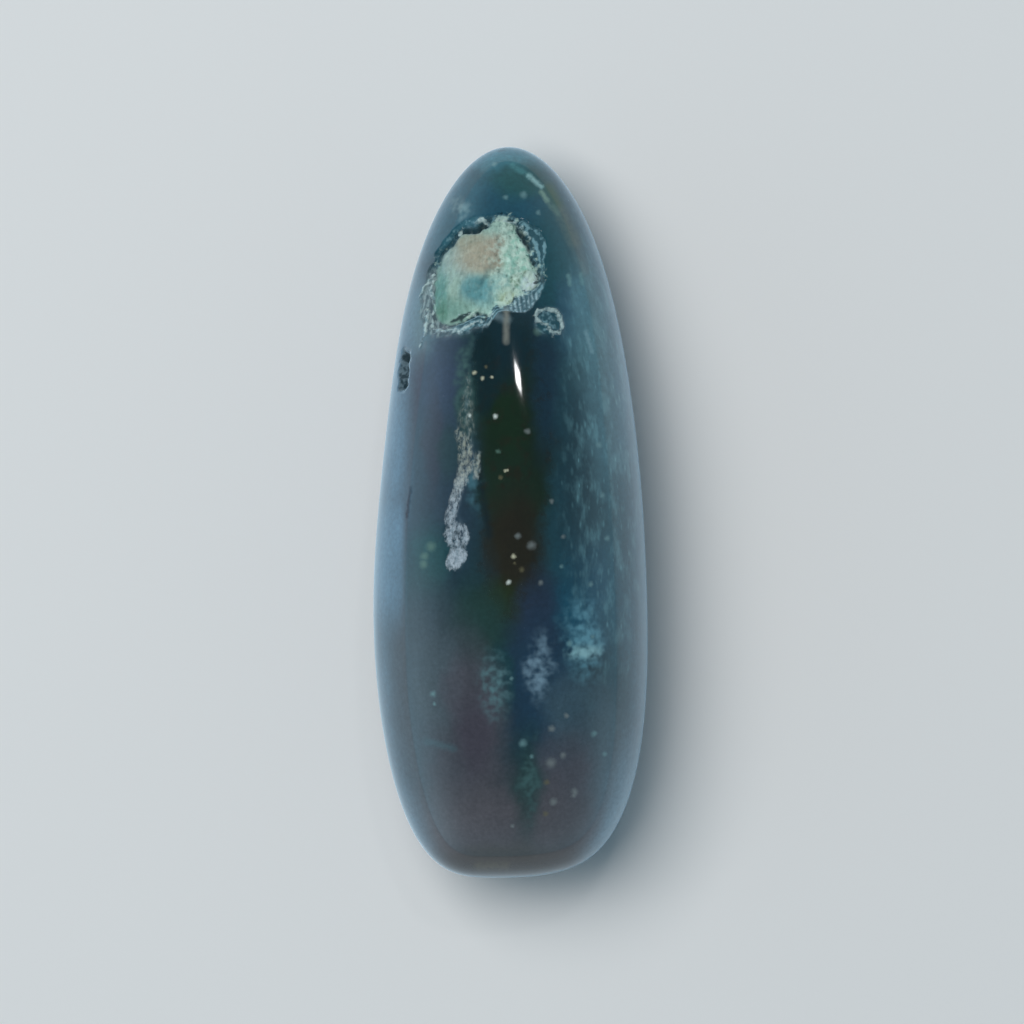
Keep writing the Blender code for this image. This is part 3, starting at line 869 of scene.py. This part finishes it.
# Clouds of soft spots under the polish: colour, X, Y, half width, half length, thickness.
CLOUDS = (
    ((90, 128, 136), -0.95, -10.5, 0.85, 1.8, 0.9),
    ((114, 144, 164), 1.75, -9.6, 0.75, 1.8, 1.3),
    ((96, 150, 170), 4.5, -7.7, 1.1, 2.4, 1.2),
    ((140, 186, 196), 4.5, -8.6, 1.0, 0.45, 2.4),
    ((66, 100, 102), 1.1, -16.4, 0.5, 2.4, 0.4),
    ((102, 134, 142), -3.15, 18.7, 0.6, 0.65, 1.8),
    ((62, 92, 92), -2.75, 8.2, 0.5, 3.0, 1.0),
    ((64, 104, 118), -2.15, 1.7, 0.4, 1.4, 1.4),
)

# Colours of the crust: colour, X, Y, half width, half length, softness, strength.
CRUST = paint(146, 178, 168)
CRUST_ZONES = (
    ((146, 170, 166), -3.6, 15.2, 1.3, 1.2, 0.5, 0.9),
    ((162, 158, 140), -1.6, 15.7, 1.7, 1.2, 0.5, 1.0),
    ((166, 160, 144), -0.9, 16.4, 0.7, 0.6, 0.6, 0.7),
    ((150, 148, 130), -2.6, 16.6, 1.2, 0.5, 0.6, 0.7),
    ((150, 200, 184), 0.6, 15.4, 1.0, 1.8, 0.4, 1.0),
    ((158, 202, 196), -0.7, 13.4, 1.4, 1.2, 0.5, 0.9),
    ((84, 142, 150), -2.05, 13.55, 1.05, 0.9, 0.45, 0.9),
    ((150, 180, 166), -3.5, 13.2, 0.4, 1.6, 0.6, 0.7),
    ((84, 138, 132), -4.3, 13.2, 0.5, 1.6, 0.6, 0.9),
    ((138, 178, 166), -3.0, 12.0, 1.3, 0.7, 0.6, 0.8),
    ((104, 146, 136), -3.7, 12.5, 0.9, 0.6, 0.6, 0.8),
    ((60, 112, 92), -4.15, 12.25, 0.28, 0.6, 0.8, 0.7),
    ((176, 192, 154), -0.1, 13.0, 0.6, 0.6, 0.6, 0.8),
    ((104, 132, 104), 0.3, 14.15, 0.4, 0.35, 0.6, 0.9),
    ((108, 128, 96), 0.95, 14.55, 0.22, 0.2, 0.6, 0.8),
    ((208, 230, 234), 1.25, 13.9, 0.5, 0.7, 0.5, 1.0),
)
CRUST_STIR = (1.0, 0.3)
CRUST_PALE = paint(196, 224, 212)
CRUST_DEEP = paint(72, 104, 92)

CHALK = paint(180, 194, 206)
CHALK_SHADE = paint(88, 112, 126)
CHALK_CREAM = paint(166, 172, 158)
THREAD = paint(186, 210, 210)
THREAD_SHADE = paint(110, 142, 150)
WALL_LIGHT = paint(116, 158, 170)
LIP = paint(60, 106, 120)
WALL_DARK = paint(40, 82, 94)
# Painted shadow: the black of the crevices, the slits, the flecks at the crust's edge and the pit's
# hole.
SHADOW_BLACK = paint(4, 32, 40)
PIT_DARK = paint(12, 40, 50)
PIT_GREY = paint(82, 102, 112)
FIBRE_DARK = paint(76, 92, 98)
FIBRE_LIGHT = paint(134, 154, 156)
DASH = paint(112, 164, 176)
SPECK = paint(78, 128, 138)

# The height of the widest line, how far below it the domed side's markings fade out, and how far
# above and below it the low-lying specks fade in.
GIRDLE = 5.9
DOMED_FADE = 1.0
LOW_FADE = (2.0, 1.0)

# Noises: cells to the millimetre, detail and roughness.
NOISE = SimpleNamespace(
    blotch=(3.4, 1.0, 0.5), fine=(5.0, 4.0, 0.65), drift=(0.32, 4.0, 0.65), grain=(0.5, 4.0, 0.6),
    moss=(1.5, 4.0, 0.7), smoke=(0.9, 4.0, 0.7), veil=(1.1, 3.0, 0.6), cloud=(2.0, 1.5, 0.5),
    strand=(4.5, 2.0, 0.6), torn=(2.6, 2.0, 0.6), net=(3.2, 1.0, 0.5), chalk=(4.2, 2.0, 0.6),
)
# Over which values of its noise or field each layer fades in, and over which Y the chalk turns cream.
FADE = SimpleNamespace(
    moss=(0.5, 0.68), pale_smoke=(0.5, 0.75), dark_smoke=(0.48, 0.3), veil=(0.45, 0.75),
    cloud=(0.38, 0.92), patchy=(0.2, 0.55), lip=(1.02, 1.3), ledge=(0.3, 1.0), strand=(0.42, 0.62),
    net=(0.44, 0.66), hollow=(0.42, 0.28), fray=(0.6, 0.76), fray_zone=(0.1, 0.6),
    edge_shadow=(0.36, 0.24), edge_shadow_zone=(0.2, 0.7), scab=(0.46, 0.72), thread=(0.3, 1.0),
    thread_light=(0.3, 0.6), furrow=(0.3, 0.6), chalk=(0.42, 0.88), chalk_zone=(0.0, 0.5),
    chalk_shade=(0.62, 0.36), cream=(0.0, 3.5), pit=(0.36, 0.58), hole=(0.2, 0.6),
)
# How much its zone adds to a layer's noise.
PULL = SimpleNamespace(cloud=0.12, net=0.06, hollow=0.04, fray=0.16, edge_shadow=0.1, chalk=0.2)
# How much each layer hides of what lies under it.
COVER = SimpleNamespace(
    moss=0.6, specks=0.3, large_specks=0.5, pale_smoke=0.4, dark_smoke=0.5, veil=0.5, dashes=0.9,
    lip=0.75, wall=0.85, fibre=0.8, hatch=0.8, fray=0.7, edge_shadow=0.8, knot=0.8, gap=0.92,
    thread=0.85, chalk=0.9, chalk_shade=0.6,
)
# The same for the crust's nets and hollows: everywhere, and more on its bright side.
NET_COVER = (0.1, 0.75)
HOLLOW_COVER = (0.2, 0.35)
# How far the blotches and the fine grain ruffle the wall's ledges, and the fine grain the threads.
LEDGE_RUFFLE = (2.4, 0.8)
THREAD_RUFFLE = 1.6
# How many dashes there are off the veils, and how much of the chalk the gaps keep off.
DASHES_OFF_VEIL = 0.3
CHALK_FREE_GAP = 0.8
# What the places of the long grain, the strands and the chalk are multiplied by: a small share
# draws a pattern out along that axis.
LONG_GRAIN = (1.0, 0.35, 1.0)
STRAND_GRAIN = (1.0, 0.2, 1.0)
CHALK_GRAIN = (1.3, 0.7, 1.0)
# Specks: cells to the millimetre, largest radius in cells and share of the cells.
FINE_SPECKS = (2.2, 0.3, 0.22)
LARGE_SPECKS = (0.9, 0.2, 0.5)
DASH_SPECKS = (1.5, 0.32, 0.6, "2D")
# Shading: an even share, then the shares of the fine grain, the blotches and the strands.
BODY_SHADING = (0.62, 0.42, 0.34)
CRUST_SHADING = (0.7, 0.2, 0.26, 0.16)

# The right flank's patch, and its map: units to the radian round the stone and to the millimetre
# along it.
RIGHT_FLANK = (6.0, 5.0, 2.5, 13.8, 0.5)
FLANK_MAP = (8.0, 0.45)
CRUMB_STIR = (3.0, 0.12)
CLOUD_SOFTNESS = 0.7
CRUST_BRIGHT_SIDE = (0.4, 15.2, 1.5, 3.2, 0.5)

# The finish.
POLISH_ROUGHNESS = 0.06
BROKEN_ROUGHNESS = 0.6
# The wall's share of the broken places' roughness and relief.
WALL_SHARE = 0.7
POLISH_IOR = 1.75
SHEEN_WEIGHT = 0.9
SHEEN_ROUGHNESS = 0.35
SHEEN_TINT = (0.55, 0.8, 1.0, 1.0)
RELIEF_STRENGTH = 0.7
RELIEF_DEPTH = 0.1
HATCH_RELIEF = 0.8

# The hatched patch right of the vug, and its furrows' pitch, slant and waver.
HATCH = (1.1, 12.6, 1.35, 0.9, 0.4)
# Painted shade in the furrows and painted highlight on their ridges, by the sine that raises them.
HATCH_FURROW_SHADE = paint(62, 98, 110)
HATCH_RIDGE_HIGHLIGHT = paint(164, 194, 204)
HATCH_PITCH = 0.27
HATCH_SLANT = 0.12
HATCH_WAVER = 0.25


def shared_wires(tree):
    """The wires that several layers read: places in millimetres, the domed side and two noises.

    plan is a place's X and Y.  Below the girdle it slides off at a slant, so that the underside
    isn't the top again.
    """
    start = Wire(tree)
    place = start.add("ShaderNodeTexCoord", output="Object").scaled(1 / MM)
    width, length, height = (place.part(axis) for axis in "XYZ")
    domed = height.eased(GIRDLE - DOMED_FADE, GIRDLE)
    blotch = place.noise(*NOISE.blotch)
    fine = place.noise(*NOISE.fine)
    below = (GIRDLE - height).larger(0.0)
    slides = {axis: share * below for axis, share in enumerate(ZONE_SLANT)}
    slant = place.add("ShaderNodeCombineXYZ", {}, slides)
    plan = place.vector("MULTIPLY_ADD", place, (1.0, 1.0, 0.0), slant)
    return SimpleNamespace(
        start=start, place=place, width=width, length=length, height=height, domed=domed,
        blotch=blotch, fine=fine, plan=plan, in_body=plan.stirred(*BODY_STIR),
    )


def body_colour(at):
    """The stone's colour: zones laid over each other, moss in its middle, and painted reflection at its
    edges.

    Painted reflection makes it paler where the surface leans over and isn't near the floor, in the
    left flank's band and in the rim's crescents, and painted shade makes it darker where it turns down
    at the blunt end.  Long grain, fine grain and blotches darken it unevenly.
    """
    colour = at.in_body.zoned(BODY_ZONES, BODY)
    moss = at.place.noise(*NOISE.moss).eased(*FADE.moss) * at.in_body.patch(*MOSS_PATCH)
    colour = (moss * COVER.moss).between(colour, MOSS)

    lean = at.start.add("ShaderNodeNewGeometry", output="Normal").part("Z")
    drift = EDGE_DRIFT[0] + EDGE_DRIFT[1] * at.place.noise(*NOISE.drift)
    # Painted reflection: paler where the surface leans over and isn't near the floor.
    edge = lean.eased(*EDGE_LEAN) * at.height.eased(*EDGE_HEIGHTS) * drift
    colour = (edge * (1 - at.plan.patch(*BLUNT_END)) * EDGE_REFLECTION_SHARE).between(colour, EDGE_REFLECTION_PAINT)
    # Painted reflection down the left flank.
    upper, lower = (
        at.width.eased(*across) * at.length.eased(*low_end) * at.length.eased(*high_end)
        for across, low_end, high_end in LEFT_FLANK_REFLECTIONS
    )
    colour = (upper.larger(lower) * at.domed * LEFT_FLANK_REFLECTION_SHARE).between(colour, LEFT_FLANK_REFLECTION)
    colour = (lean.eased(*BLUNT_LEAN) * at.plan.patch(*BLUNT_END)).between(colour, BLUNT_SHADE)
    # Painted reflections in the rim's crescents.
    for *oval, strength in RIM_REFLECTION_PATCHES:
        crescent_reflection = lean.eased(*RIM_LEAN) * at.plan.patch(*oval) * at.domed * strength
        colour = crescent_reflection.between(colour, RIM_REFLECTION_PAINT)

    grain = at.place.vector("MULTIPLY", at.place, LONG_GRAIN)
    shade = grain.noise(*NOISE.grain) * (BODY_SHADES[1] - BODY_SHADES[0]) + BODY_SHADES[0]
    even, finely, blotchy = BODY_SHADING
    return colour.dimmed(shade * (even + finely * at.fine + blotchy * at.blotch))


def under_polish(at, colour):
    """What shows in the stone: specks, smoke, veils and dashes, then clouds, streaks and crumbs.

    Specks and smoke lie low down.  Veils and upright dashes lie in the right flank, on a map that
    unrolls the stone's round side.
    """
    low = at.height.eased(GIRDLE + LOW_FADE[0], GIRDLE - LOW_FADE[1])
    colour = (at.place.specks(*FINE_SPECKS) * low * COVER.specks).between(colour, SPECK)
    colour = (at.place.specks(*LARGE_SPECKS) * low * COVER.large_specks).between(colour, DASH)
    smoke = at.place.noise(*NOISE.smoke)
    colour = (smoke.eased(*FADE.pale_smoke) * low * COVER.pale_smoke).between(colour, DASH)
    colour = (smoke.eased(*FADE.dark_smoke) * low * COVER.dark_smoke).between(colour, BODY)
    round_it = at.place.add("ShaderNodeCombineXYZ", {}, {
        0: at.width.math("ARCTAN2", at.width, at.height - GIRDLE) * FLANK_MAP[0],
        1: at.length * FLANK_MAP[1],
    })
    flank = at.plan.patch(*RIGHT_FLANK) * at.domed
    veil = round_it.noise(*NOISE.veil).eased(*FADE.veil)
    colour = (veil * flank * COVER.veil).between(colour, DASH)
    dashes = round_it.specks(*DASH_SPECKS) * (DASHES_OFF_VEIL + (1 - DASHES_OFF_VEIL) * veil)
    colour = (dashes * flank * COVER.dashes).between(colour, DASH)

    at_crumb = at.plan.stirred(*CRUMB_STIR)
    clouds = at.place.noise(*NOISE.cloud)
    for tint, *oval, thickness in CLOUDS:
        patch = at.in_body.patch(*oval, CLOUD_SOFTNESS)
        cloud = (clouds + PULL.cloud * thickness * patch).eased(*FADE.cloud) * patch * at.domed
        colour = cloud.between(colour, paint(*tint))
    patchy = at.blotch.eased(*FADE.patchy)
    for streak in STREAKS:
        colour = at_crumb.streaked(streak, at.domed, patchy, colour)
    for tint, strength, places in CRUMBS:
        colour = (at_crumb.spots(places) * at.domed * strength).between(colour, paint(*tint))
    return colour


def vug_colour(at, field, colour):
    """The vug's lip, its wall in ledges, the fibrous part of its wall, the tongue and its crust.

    The crust has zones of its own, pale nets and dark hollows, more of them on its right side, and
    strands that run along Y.  Returns the colour and the noise that tears the crust's edge.
    """
    lip = (at.blotch + at.fine).eased(*FADE.lip).between(LIP, WALL_LIGHT)
    colour = (field["lip"] * COVER.lip).between(colour, lip)
    ruffle = LEDGE_RUFFLE[0] * (at.blotch - 0.5) + LEDGE_RUFFLE[1] * (at.fine - 0.5)
    ledge = (field["ledge"] + ruffle).eased(*FADE.ledge)
    colour = (field["wall"] * COVER.wall).between(colour, ledge.between(WALL_DARK, WALL_LIGHT))
    strands = at.place.vector("MULTIPLY", at.place, STRAND_GRAIN)
    strands = strands.noise(*NOISE.strand).eased(*FADE.strand)
    colour = (field["fibre"] * COVER.fibre).between(colour, strands.between(FIBRE_DARK, FIBRE_LIGHT))
    patchy = at.blotch.eased(*FADE.patchy)
    colour = at.plan.streaked(TONGUE, at.domed * (1 - field["crust"]), patchy, colour)

    crust = at.plan.stirred(*CRUST_STIR).zoned(CRUST_ZONES, CRUST)
    torn = at.place.noise(*NOISE.torn)
    bright = at.plan.patch(*CRUST_BRIGHT_SIDE)
    net = 0.5 * (torn + at.place.noise(*NOISE.net)) + PULL.net * bright
    cover = net.eased(*FADE.net) * (NET_COVER[0] + NET_COVER[1] * bright)
    crust = cover.between(crust, CRUST_PALE)
    hollow = (at.blotch + PULL.hollow * bright).eased(*FADE.hollow)
    crust = (hollow * (HOLLOW_COVER[0] + HOLLOW_COVER[1] * bright)).between(crust, CRUST_DEEP)
    even, finely, blotchy, stranded = CRUST_SHADING
    streaked = even + finely * at.fine + blotchy * at.blotch + stranded * strands
    return field["crust"].between(colour, crust.dimmed(streaked)), torn


def edge_colour(at, field, torn, colour):
    """Frayed white bits and flecks of painted shadow at the crust's edge, the knot, the gaps painted
    black as shadow, and the raised threads.

    Returns the colour and where the threads' white is.
    """
    frayed = field["fray"]
    fray = (torn + PULL.fray * frayed).eased(*FADE.fray) * frayed.eased(*FADE.fray_zone)
    colour = (fray * COVER.fray).between(colour, CRUST_PALE)
    # Painted shadow: dark flecks along the crust's crinkled edge.
    edge_shadow = (torn - PULL.edge_shadow * frayed).eased(*FADE.edge_shadow) * frayed.eased(*FADE.edge_shadow_zone)
    colour = (edge_shadow * COVER.edge_shadow).between(colour, SHADOW_BLACK)
    scab = at.blotch.eased(*FADE.scab)
    colour = (field["knot"] * COVER.knot).between(colour, scab.between(WALL_DARK, WALL_LIGHT))
    # Painted shadow in the crevices and slits.
    colour = (field["gap"] * COVER.gap).between(colour, SHADOW_BLACK)
    thread = (field["white"] + THREAD_RUFFLE * (at.fine - 0.5)).eased(*FADE.thread)
    white = at.blotch.eased(*FADE.thread_light).between(THREAD_SHADE, THREAD)
    return (thread * COVER.thread).between(colour, white), thread


def hatched(at, field, colour):
    """A patch of fine upright furrows on the lower right of the wall: a sine of X and a little of Y,
    with painted highlight on the ridges and painted shade in the troughs.

    Returns the colour, the furrows and where they are.
    """
    across = at.width + at.length * HATCH_SLANT + HATCH_WAVER * at.blotch
    furrow = across * (2 * np.pi / HATCH_PITCH)
    furrow = furrow.math("SINE", furrow) * 0.5 + 0.5
    hatch = at.plan.patch(*HATCH) * at.domed * field["wall"] * (1 - field["crust"])
    shade = (furrow * at.blotch.eased(*FADE.furrow)).between(HATCH_FURROW_SHADE, HATCH_RIDGE_HIGHLIGHT)
    return (hatch * COVER.hatch).between(colour, shade), furrow, hatch


def scar_colour(at, field, colour):
    """The scar's grains of chalk, thick at its foot and thin at its top, and creamier there.

    Returns the colour and where the chalk is.
    """
    grains = at.place.vector("MULTIPLY", at.place, CHALK_GRAIN).noise(*NOISE.chalk)
    thick = field["chalk"]
    cover = (grains + PULL.chalk * thick).eased(*FADE.chalk) * thick.eased(*FADE.chalk_zone)
    cover = cover * (1 - field["gap"] * CHALK_FREE_GAP)
    chalk = at.length.eased(*FADE.cream).between(CHALK, CHALK_CREAM)
    chalk = (at.fine.eased(*FADE.chalk_shade) * COVER.chalk_shade).between(chalk, CHALK_SHADE)
    return (cover * COVER.chalk).between(colour, chalk), cover


def bloodstone_material():
    """Deep teal chalcedony with zones, crumbs and clouds under a polish, and its broken places.

    The broken places are rough and have a grain in relief.
    """
    material = bpy.data.materials.new("bloodstone")
    material.use_nodes = True
    tree = material.node_tree
    shader = tree.nodes["Principled BSDF"]
    at = shared_wires(tree)
    colour = under_polish(at, body_colour(at))
    field = {
        name: at.start.add("ShaderNodeAttribute", {"attribute_name": name}, output="Fac")
        for name in FIELDS
    }
    colour, torn = vug_colour(at, field, colour)
    colour, furrow, hatch = hatched(at, field, colour)
    colour, thread = edge_colour(at, field, torn, colour)
    colour, chalk = scar_colour(at, field, colour)
    colour = field["pit"].between(colour, at.blotch.eased(*FADE.pit).between(PIT_DARK, PIT_GREY))
    # Painted shadow in the side pit's hole.
    colour = field["hole"].eased(*FADE.hole).between(colour, SHADOW_BLACK)

    broken = field["crust"].larger(field["wall"] * WALL_SHARE).larger(field["pit"])
    broken = broken.larger(thread).larger(chalk)
    relief = (at.fine + at.blotch) * broken + HATCH_RELIEF * furrow * hatch
    sockets = {"Strength": RELIEF_STRENGTH, "Distance": RELIEF_DEPTH * MM, "Height": relief}
    bump = at.start.add("ShaderNodeBump", {}, sockets)
    tree.links.new(colour.socket, shader.inputs["Base Color"])
    tree.links.new((POLISH_ROUGHNESS + BROKEN_ROUGHNESS * broken).socket, shader.inputs["Roughness"])
    tree.links.new(bump.socket, shader.inputs["Normal"])
    shader.inputs["IOR"].default_value = POLISH_IOR
    shader.inputs["Sheen Weight"].default_value = SHEEN_WEIGHT
    shader.inputs["Sheen Roughness"].default_value = SHEEN_ROUGHNESS
    shader.inputs["Sheen Tint"].default_value = SHEEN_TINT
    return material


# ---------------------------------------------------------------------------------------------
# The floor, the light and the camera, in metres.

FLOOR_COLOUR = paint(236, 237, 239)
FLOOR_ROUGHNESS = 0.8
FLOOR_SIDE = 1.2
FLOOR_GAP = 0.00002

# The world: its colour, its strength overhead, what the horizon adds and what it adds more at the
# sides, at the left and at the blunt end's side, and the shares of the way over which these fade in.
WORLD_COLOUR = (0.6, 0.86, 1.0, 1.0)
OVERHEAD = 0.12
HORIZON = 0.3
HORIZON_SIDES = 0.2
HORIZON_LEFT = 0.35
HORIZON_BLUNT_END = 0.14
WORLD_FADE = SimpleNamespace(
    horizon=(0.82, 0.1), sides=(0.2, 0.8), left=(0.6, -0.6), blunt_end=(-0.2, -0.9), low=(0.4, 0.0),
)

# Lamps: the way to it from the stone, its distance, width, length, radiance and colour, and
# whether the polish mirrors it.
LAMPS = {
    "soft_key": ((-0.35, 0.25, 0.9), 0.7, 0.5, 0.5, 4.6, (1.0, 0.97, 0.93), False),
    "spark": ((0.15, 0.46, 0.93), 0.6, 0.033, 0.032, 28.0, (1.0, 1.0, 1.0), True),
}

VIEW_WIDTH = 63.04 * MM
VIEW_CENTRE_X = 0.09 * MM
CAMERA_HEIGHT = 0.6
CAMERA_CLIP = 0.01
SENSOR = 36


def build_floor():
    """A plain pale square, a hair below the stone."""
    mesh = bpy.data.meshes.new("floor")
    half = FLOOR_SIDE / 2
    corners = [(x * half, y * half, -FLOOR_GAP) for x, y in ((-1, -1), (1, -1), (1, 1), (-1, 1))]
    mesh.from_pydata(corners, [], [(0, 1, 2, 3)])
    material = bpy.data.materials.new("pale_floor")
    material.use_nodes = True
    shader = material.node_tree.nodes["Principled BSDF"]
    shader.inputs["Base Color"].default_value = FLOOR_COLOUR
    shader.inputs["Roughness"].default_value = FLOOR_ROUGHNESS
    mesh.materials.append(material)
    return placed("floor", mesh)


def build_world():
    """A dim ceiling over a cool horizon, which is brighter at the sides and past the blunt end."""
    world = bpy.data.worlds.new("soft_studio")
    world.use_nodes = True
    tree = world.node_tree
    background = tree.nodes["Background"]
    way = Wire(tree).add("ShaderNodeTexCoord", output="Generated")
    low = way.part("Z").eased(*WORLD_FADE.horizon)
    across = way.part("X")
    sideways = across.math("ABSOLUTE", across).eased(*WORLD_FADE.sides)
    leftwards = across.eased(*WORLD_FADE.left)
    past_blunt_end = way.part("Y").eased(*WORLD_FADE.blunt_end) * way.part("Z").eased(*WORLD_FADE.low)
    strength = OVERHEAD + low * (HORIZON + sideways * (HORIZON_SIDES + HORIZON_LEFT * leftwards))
    strength = strength + HORIZON_BLUNT_END * past_blunt_end
    tree.links.new(strength.socket, background.inputs["Strength"])
    background.inputs["Color"].default_value = WORLD_COLOUR
    bpy.context.scene.world = world


def area_lamp(name, way, distance, width, length, radiance, colour, mirrored):
    """A rectangular lamp that faces the stone from this direction."""
    light = bpy.data.lights.new(name, "AREA")
    light.shape = "RECTANGLE"
    light.size = width
    light.size_y = length
    light.energy = radiance * np.pi * width * length
    light.color = colour
    lamp = placed(name, light)
    lamp.visible_glossy = mirrored
    way = Vector(way).normalized()
    lamp.location = way * distance + Vector((0, 0, GIRDLE * MM))
    lamp.rotation_euler = way.to_track_quat("Z", "Y").to_euler()


def build_camera():
    """A long lens straight above the stone, with the narrow end up."""
    data = bpy.data.cameras.new("camera")
    data.sensor_width = SENSOR
    data.lens = SENSOR * CAMERA_HEIGHT / VIEW_WIDTH
    data.clip_start = CAMERA_CLIP
    camera = placed("camera", data)
    camera.location = (VIEW_CENTRE_X, 0.0, CAMERA_HEIGHT + GIRDLE * MM)
    bpy.context.scene.camera = camera


stone = build_stone(bloodstone_material())
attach(stone, "root")
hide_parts("bloodstone")
build_floor()
build_world()
for name, lamp in LAMPS.items():
    area_lamp(name, *lamp)
build_camera()
bpy.context.scene.view_settings.view_transform = "Standard"
